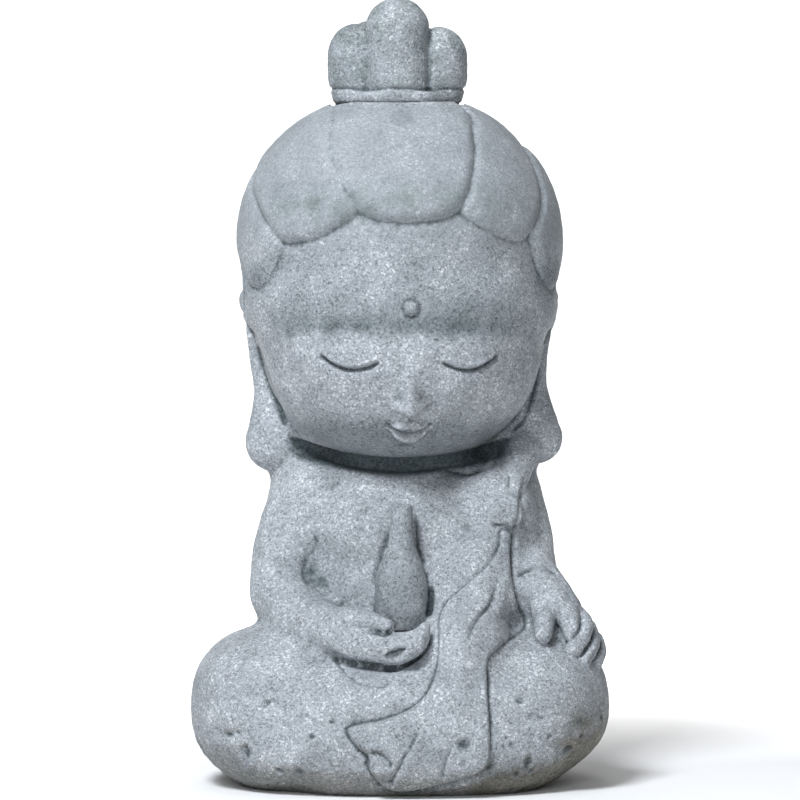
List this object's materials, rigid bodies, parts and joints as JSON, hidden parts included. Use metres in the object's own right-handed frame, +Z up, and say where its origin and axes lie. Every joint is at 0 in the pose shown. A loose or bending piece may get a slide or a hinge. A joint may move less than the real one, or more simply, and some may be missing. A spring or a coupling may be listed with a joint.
{
  "type": "meditating buddha statue",
  "caption": "Seated child figure in speckled grey granite, cross-legged with closed eyes, tall topknot, long ear lobes, a sash and an upright vase, on a flat underside.",
  "frame": {"origin": "middle of the flat underside", "axes": "+Z up, -Y the way the figure faces, +X to the figure's left"},
  "size_m": [0.213, 0.1754, 0.4],
  "materials": {
    "granite": "fine-dressed speckled granite, matt, with darker weathered patches and small pits low on the base"
  },
  "bodies": {
    "root": {"statue": "granite"}
  },
  "joints": []
}
